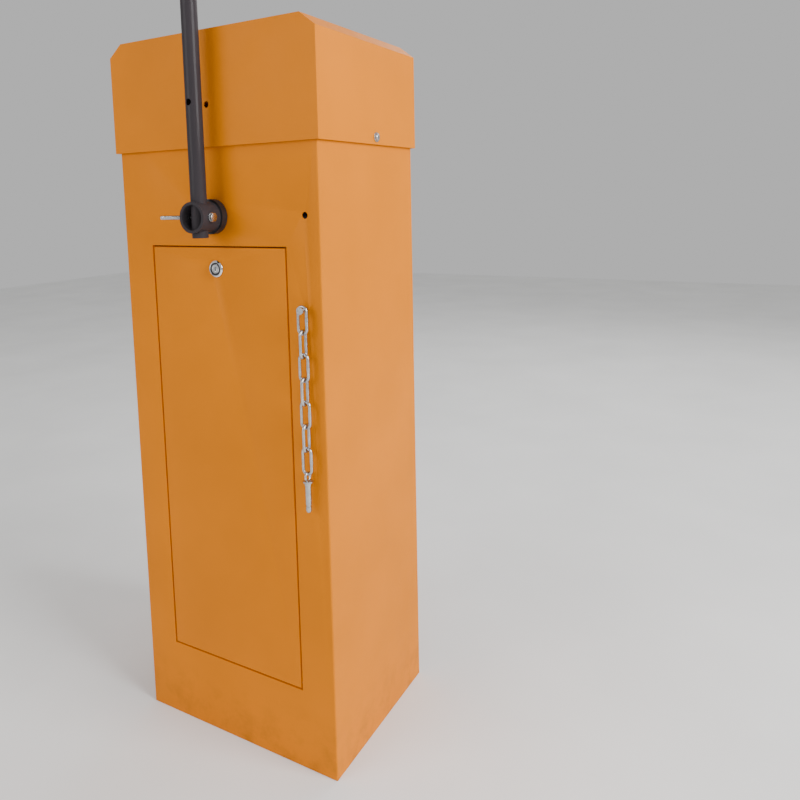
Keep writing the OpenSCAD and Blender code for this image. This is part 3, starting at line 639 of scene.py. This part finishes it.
def make_lid_screws():
    """Dome-headed hexagon screws on flat washers, one on each side of the lid."""
    low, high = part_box("lid_screws")
    lid_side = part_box("lid")[1].x
    y, z = (low.y + high.y) / 2, (low.z + high.z) / 2
    shape = Shape()
    for side in (-1, 1):
        place = aim((side * lid_side, y, z), (side, 0, 0))
        shape.add(lathe([(6.6 * MM, 0), (7 * MM, 0.3 * MM), (7 * MM, 1.2 * MM),
                         (6.7 * MM, 1.5 * MM)]), place)
        dome = [(5.2 * MM * math.cos(a), 2.6 * MM + 1.9 * MM * math.sin(a))
                for a in (math.radians(18 * k) for k in range(5))]
        shape.add(hexagon(10 * MM, 1.5 * MM, 3.4 * MM, chamfer_low=False), place)
        shape.add(lathe([(4.6 * MM, 2.4 * MM)] + [(0.88 * r, h) for r, h in dome]), place)
        shape.add(thread(3 * MM, 1 * MM, -15 * MM, 0.2 * MM), place)
    add_piece("lid_screws_domed", shape, "zinc", "lid", "lid_screws")


make_rear_bearing_bolts()
make_stop_studs()
make_anchor_bolt()
make_lid_screws()

# ------------------------------------------------------------------ rod end


def make_rod_end():
    """A forged eye with rounded rims, a smooth neck and a turned shank."""
    half, outer, bore = 6 * MM, 16 * MM, 10.05 * MM
    rim = 2.4 * MM
    arc = [math.radians(15 * k) for k in range(7)]
    edge = [(outer - rim + rim * math.cos(a), half - rim + rim * math.sin(a)) for a in arc]
    back_edge = [(r, -h) for r, h in reversed(edge)]
    across = aim(pivot, (0, 1, 0))
    eye = Shape()
    eye.add(lathe([(bore, -half), (11.4 * MM, -half)] + back_edge[1:] + edge[:-1]
                  + [(11.4 * MM, half), (bore, half)], 64), across, loop=True)
    eye_piece = eye.make("rod_end_eye")
    shank = Shape()
    neck = [(5.2 * MM + 2.8 * MM * (0.5 - 0.5 * math.cos(math.pi * t / 6)),
             (11.6 + 10.4 * t / 6) * MM) for t in range(7)]
    shank.add(lathe(neck + [(8 * MM, 33.4 * MM), (7.4 * MM, 34 * MM)]), down_spring)
    combine(eye_piece, [shank.make("rod_end_shank")], "UNION")
    bore_cut = Shape()
    bore_cut.add(lathe([(M10_HOLE_R, 19 * MM), (M10_HOLE_R, 36 * MM)]), down_spring)
    combine(eye_piece, [bore_cut.make("rod_end_bore")], "DIFFERENCE")
    dress(eye_piece, "zinc")
    eye_piece.name = "rod_end_forged"
    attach(eye_piece, "spring_upper")
    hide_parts("rod_end")


make_rod_end()

# ------------------------------------------------------------------ cabinet front, back and door

LIP = 0.7 * MM
EXTRA = 1 * MM
SHEET = 2 * MM
EDGE_FOLD = 2 * MM
SHAFT_HOLE_R = 22.6 * MM
LOCK_PIN_HOLE_R = 4.5 * MM
LOCK_PIN_HOLE_INSET = 23 * MM
STUD_HOLE_R = 2.52 * MM
REAR_WINDOW_HEIGHT = 142 * MM
REAR_WINDOW_JAMB = 50 * MM


def lip_steps(outside, inside, lip=LIP):
    """Depth along Y and widening of a cutter that leaves a rounded rim on the outside face."""
    way = 1 if inside > outside else -1
    steps = [(outside - way * EXTRA, lip)]
    for k in range(5):
        depth = lip * k / 4
        steps.append((outside + way * depth, lip - math.sqrt(lip ** 2 - (lip - depth) ** 2)))
    return steps + [(inside + way * EXTRA, 0.0)]


def rectangle(low, high, y, grow=0.0):
    return [(low[0] - grow, y, low[1] - grow), (high[0] + grow, y, low[1] - grow),
            (high[0] + grow, y, high[1] + grow), (low[0] - grow, y, high[1] + grow)]


def window_cutter(name, low, high, outside, inside):
    shape = Shape()
    shape.add([rectangle(low, high, y, grow) for y, grow in lip_steps(outside, inside)],
              Matrix.Identity(4))
    return shape.make(name)


def hole_cutter(name, x, z, radius, outside, inside, lip=0.4 * MM):
    shape = Shape()
    rings = []
    for y, grow in lip_steps(outside, inside, lip):
        rings.append([(x + (radius + grow) * math.cos(math.tau * j / 40), y,
                       z + (radius + grow) * math.sin(math.tau * j / 40)) for j in range(40)])
    shape.add(rings, Matrix.Identity(4))
    return shape.make(name)


def folded_sheet(name, node, outside, inside, cutters):
    """A sheet across X whose outer corners are bent to the thickness of the metal."""
    low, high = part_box(node)
    way = 1 if inside > outside else -1
    bend = abs(inside - outside)
    quarter = [math.radians(15 * k) for k in range(7)]
    corner = [(bend * (1 - math.cos(a)), bend * (1 - math.sin(a))) for a in quarter]
    left = [(low.x + dx, outside + way * dy) for dx, dy in corner]
    right = [(high.x - dx, outside + way * dy) for dx, dy in reversed(corner)]
    outline = left + right
    shape = Shape()
    shape.add([[(x, y, z) for x, y in outline] for z in (low.z, high.z)], Matrix.Identity(4))
    sheet = shape.make(name)
    combine(sheet, cutters, "DIFFERENCE")
    dress(sheet, "orange_paint")
    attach(sheet, "cabinet")
    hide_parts(node)


rebate_low, rebate_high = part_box("door_rebate")
OPENING_LOW = (rebate_low.x + EDGE_FOLD, rebate_low.z + EDGE_FOLD)
OPENING_HIGH = (rebate_high.x - EDGE_FOLD, rebate_high.z - EDGE_FOLD)
LOCK_HOLE_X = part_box("front_panel")[1].x - LOCK_PIN_HOLE_INSET
stud_low, stud_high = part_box("chain_stud")
STUD = ((stud_low.x + stud_high.x) / 2, (stud_low.z + stud_high.z) / 2)


def make_front_sheet():
    inside = FRONT_Y + SHEET
    cutters = [window_cutter("cut_door", OPENING_LOW, OPENING_HIGH, FRONT_Y, inside),
               hole_cutter("cut_shaft", 0.0, hub.z, SHAFT_HOLE_R, FRONT_Y, inside),
               hole_cutter("cut_pin", LOCK_HOLE_X, hub.z, LOCK_PIN_HOLE_R, FRONT_Y, inside),
               hole_cutter("cut_stud", *STUD, STUD_HOLE_R, FRONT_Y, inside, 0.1 * MM)]
    folded_sheet("front_sheet", "front_panel", FRONT_Y, inside, cutters)


def make_back_sheet():
    inside = BACK_Y - SHEET
    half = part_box("back_panel")[1].x - REAR_WINDOW_JAMB
    cutters = [window_cutter("cut_window", (-half, OPENING_HIGH[1] - REAR_WINDOW_HEIGHT),
                             (half, OPENING_HIGH[1]), BACK_Y, inside)]
    folded_sheet("back_sheet", "back_panel", BACK_Y, inside, cutters)


DOOR_FOLD_R = 2 * MM


def make_door():
    """A shallow tray: the front sheet is folded back all round over a rounded edge."""
    low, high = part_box("door_panel")
    wall = 1.5 * MM
    outer = ((low.x, low.z), (high.x, high.z))
    inner = ((low.x + wall, low.z + wall), (high.x - wall, high.z - wall))
    rings = [rectangle(*inner, low.y + wall), rectangle(*inner, high.y), rectangle(*outer, high.y)]
    for k in range(7):
        angle = math.radians(15 * k)
        inset = DOOR_FOLD_R * (1 - math.cos(angle))
        rings.append(rectangle(*outer, low.y + DOOR_FOLD_R * (1 - math.sin(angle)), -inset))
    shape = Shape()
    shape.add(rings, Matrix.Identity(4))
    door = shape.make("door_tray")
    lock = Vector(joints["lock_turn"]["pos_m"])
    hinge = Vector(joints["door_hinge"]["pos_m"])
    pin_hole = Shape()
    pin_hole.add(lathe([(2.55 * MM, low.x - EXTRA), (2.55 * MM, high.x + EXTRA)], 32),
                 aim((0, hinge.y, hinge.z), (1, 0, 0)))
    combine(door, [hole_cutter("cut_lock", lock.x, lock.z, 9.55 * MM, low.y, low.y + wall, 0.1 * MM),
                   pin_hole.make("cut_pins")], "DIFFERENCE")
    dress(door, "orange_paint")
    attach(door, "door")
    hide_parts("door_panel")


make_front_sheet()
make_back_sheet()
make_door()

# ------------------------------------------------------------------ door lock


def make_lock():
    """A chromed barrel with a bevelled rim, a dark inset face, and a plug with a key slot."""
    lock = Vector(joints["lock_turn"]["pos_m"])
    upright = Matrix.Translation((lock.x, FRONT_Y, lock.z)) @ Matrix.Rotation(math.pi / 2, 4, "X")
    out = aim((lock.x, FRONT_Y, lock.z), (0, -1, 0))
    body = FRONT_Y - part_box("lock_barrel")[1].y
    rim = [(12.25 * MM, 0), (12.25 * MM, 1.0 * MM), (11.9 * MM, 1.7 * MM), (10.9 * MM, 2.6 * MM),
           (10.3 * MM, 3 * MM), (9.5 * MM, 3 * MM), (9.1 * MM, 2.6 * MM), (9.0 * MM, 1.9 * MM)]
    barrel = Shape()
    barrel.add(lathe([(6.45 * MM, body), (9.2 * MM, body), (9.5 * MM, body + 0.4 * MM),
                      (9.5 * MM, 0)] + rim + [(6.45 * MM, 1.9 * MM)], 64), out, loop=True)
    add_piece("lock_barrel_rimmed", barrel, "chrome", "door", "lock_barrel")
    inset = Shape()
    inset.add(lathe([(6.5 * MM, 1.92 * MM), (8.9 * MM, 1.92 * MM), (8.9 * MM, 2.3 * MM),
                     (8.6 * MM, 2.5 * MM), (6.8 * MM, 2.5 * MM), (6.5 * MM, 2.3 * MM)], 64), out,
              loop=True)
    add_piece("lock_face_inset", inset, "black_steel", "door")
    back = FRONT_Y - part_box("lock_plug")[1].y
    shape = Shape()
    shape.add(lathe([(6.4 * MM, back + 2 * MM), (6.4 * MM, 2.2 * MM), (6.1 * MM, 2.6 * MM),
                     (4.9 * MM, 2.6 * MM), (4.6 * MM, 2.2 * MM), (3.4 * MM, 2.2 * MM),
                     (3.0 * MM, 2.6 * MM)], 64), out)
    plug = shape.make("lock_plug_slotted")
    slot = Shape()
    slot.add([[(-0.7 * MM, -3.0 * MM, h), (0.7 * MM, -3.0 * MM, h), (0.7 * MM, 3.0 * MM, h),
               (-0.7 * MM, 3.0 * MM, h)] for h in (-8 * MM, 4 * MM)], upright)
    square = Shape()
    square.add([[(x * 3.5 * MM, y * 3.5 * MM, h) for x, y in ((-1, -1), (1, -1), (1, 1), (-1, 1))]
                for h in (back, back + 2.5 * MM)], upright)
    combine(plug, [slot.make("cut_key")], "DIFFERENCE")
    combine(plug, [square.make("plug_square")], "UNION")
    dress(plug, "chrome")
    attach(plug, "lock")
    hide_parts("lock_plug")


make_lock()

# ------------------------------------------------------------------ chain and lock pin

LINK_WIRE = 2 * MM
LINK_LENGTH = 40 * MM
LINK_BEND = 6.5 * MM
LINK_PITCH = 31.5 * MM
WELD_SWELL = 0.16


def add_link(shape, centre, quarter_turns):
    """One oval link, its wire a little thicker at the weld half way down one side."""
    straight = LINK_LENGTH / 2 - LINK_BEND - LINK_WIRE
    path = []
    for end in (1, -1):
        for k in range(13):
            angle = math.radians(15 * k) + (0 if end > 0 else math.pi)
            path.append((LINK_BEND * math.cos(angle), end * straight + LINK_BEND * math.sin(angle), 0))
        for k in range(1, 8):
            x = -end * LINK_BEND
            z = end * straight * (1 - k / 4)
            weld = 1.0 if end < 0 and k == 4 else (0.6 if end < 0 and k in (3, 5) else 0.0)
            path.append((x, z, weld))
    turn = Matrix.Translation(centre) @ Matrix.Rotation(math.pi / 2 * quarter_turns, 4, "Z")
    rings = []
    count = len(path)
    for i in range(count):
        before, here, after = path[i - 1], path[i], path[(i + 1) % count]
        along = Vector((after[0] - before[0], 0, after[1] - before[1])).normalized()
        out = Vector((along.z, 0, -along.x))
        wire = LINK_WIRE * (1 + WELD_SWELL * here[2])
        rings.append([tuple(Vector((here[0], 0, here[1])) + wire * (math.cos(a) * out
                      + Vector((0, math.sin(a), 0))))
                      for a in (math.tau * j / 14 for j in range(14))])
    shape.add(rings, turn, loop=True)


def make_chain():
    low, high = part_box("chain_links_upper")
    x, y = (low.x + high.x) / 2, (low.y + high.y) / 2
    for name, node, body, first, last in (
            ("chain_upper_welded", "chain_links_upper", "chain_upper", 0, 3),
            ("chain_lower_welded", "chain_links_lower", "chain_lower", 3, 7)):
        shape = Shape()
        for i in range(first, last):
            add_link(shape, (x, y, high.z - LINK_LENGTH / 2 - i * LINK_PITCH), i % 2)
        add_piece(name, shape, "zinc", body, node)


def make_lock_pin():
    """A turned pin with a flanged head, a retaining groove and a ring through the head."""
    low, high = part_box("lock_pin")
    x, y = (low.x + high.x) / 2, (low.y + high.y) / 2
    head = high.z - 14 * MM
    down = aim((x, y, head), (0, 0, -1))
    shape = Shape()
    shape.add(lathe([(6.2 * MM, 0), (7 * MM, 0.6 * MM), (7 * MM, 2.2 * MM), (6.4 * MM, 2.8 * MM),
                     (5.0 * MM, 3.4 * MM), (4.8 * MM, 6.4 * MM), (4 * MM, 7 * MM),
                     (4 * MM, 33.5 * MM), (3.3 * MM, 34 * MM), (3.3 * MM, 35.5 * MM),
                     (4 * MM, 36 * MM), (4 * MM, 41 * MM), (3.4 * MM, 42.8 * MM),
                     (2.5 * MM, 44 * MM)]), down)
    centre = Vector((x, y, head + 5.5 * MM))
    rings = []
    for i in range(36):
        angle = math.tau * i / 36
        out = Vector((0, math.cos(angle), math.sin(angle)))
        rings.append([tuple(centre + (5.5 * MM + 1.5 * MM * math.cos(math.tau * j / 12)) * out
                            + Vector((1.5 * MM * math.sin(math.tau * j / 12), 0, 0)))
                      for j in range(12)])
    shape.add(rings, Matrix.Identity(4), loop=True)
    add_piece("lock_pin_turned", shape, "zinc", "lock_pin", "lock_pin")


make_chain()
make_lock_pin()

# ------------------------------------------------------------------ stage

FLOOR_HALF = 6.0
ROOM_LIGHT = 0.55


def add_floor():
    mesh = bpy.data.meshes.new("floor")
    corners = [(x * FLOOR_HALF, y * FLOOR_HALF, -0.0005)
               for x, y in ((-1, -1), (1, -1), (1, 1), (-1, 1))]
    mesh.from_pydata(corners, [], [(0, 1, 2, 3)])
    floor = bpy.data.objects.new("floor", mesh)
    bpy.context.scene.collection.objects.link(floor)
    m = Nodes("pale_floor")
    m.colour(m.ramp(m.noise(3.0, 4.0), "Fac", [(0.3, (0.80, 0.80, 0.79)), (0.7, (0.86, 0.86, 0.85))]))
    m.fixed(Roughness=0.85)
    floor.data.materials.append(m.material)


def add_area(name, place, target, size, watts):
    data = bpy.data.lights.new(name, "AREA")
    data.shape = "RECTANGLE"
    data.size, data.size_y = size
    data.energy = watts
    lamp = bpy.data.objects.new(name, data)
    turn = (Vector(target) - Vector(place)).to_track_quat("-Z", "Y")
    lamp.matrix_world = Matrix.Translation(place) @ turn.to_matrix().to_4x4()
    bpy.context.scene.collection.objects.link(lamp)


def add_lights():
    """An even white room and three soft boxes: the key lights the post's right side."""
    world = bpy.data.worlds.new("studio")
    world.use_nodes = True
    background = world.node_tree.nodes["Background"]
    background.inputs["Color"].default_value = (1.0, 1.0, 1.0, 1.0)
    background.inputs["Strength"].default_value = ROOM_LIGHT
    bpy.context.scene.world = world
    middle = (0.0, 0.0, 0.6)
    add_area("key", (3.0, -0.2, 2.0), middle, (1.8, 1.8), 150)
    add_area("front_fill", (-1.6, -3.0, 1.9), middle, (2.2, 2.2), 60)
    add_area("rim", (0.5, 2.8, 2.4), middle, (2.0, 1.2), 30)


add_floor()
add_lights()
